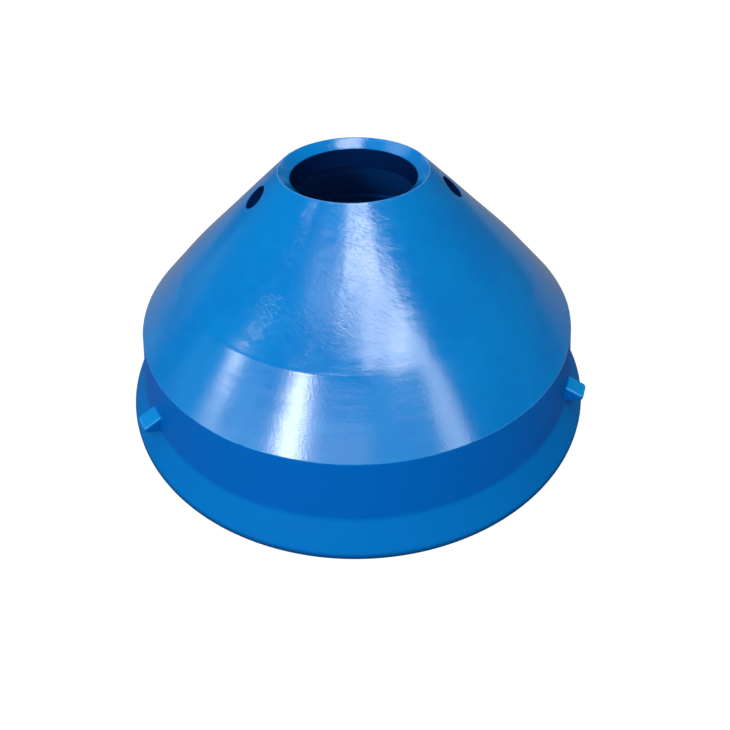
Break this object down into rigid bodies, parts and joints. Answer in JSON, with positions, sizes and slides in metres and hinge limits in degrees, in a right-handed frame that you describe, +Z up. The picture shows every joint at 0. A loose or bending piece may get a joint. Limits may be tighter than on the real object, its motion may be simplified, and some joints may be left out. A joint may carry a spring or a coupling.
{
  "type": "cone crusher mantle",
  "caption": "Cast wear cone that covers a cone crusher's moving head and crushes stone on its outside, with a collar bore, a sharp crushing edge, a skirt with lugs and a flared foot",
  "frame": {"origin": "the middle of the flat face under the foot, on the mantle's axis", "axes": "+Z up along the mantle's axis, towards the collar; +Y towards the back lug; +X towards one lifting hole"},
  "size_m": [1.2998, 1.3, 0.6277],
  "materials": {
    "painted_casting": "gloss"
  },
  "bodies": {
    "root": {"mantle": "painted_casting"}
  },
  "joints": []
}
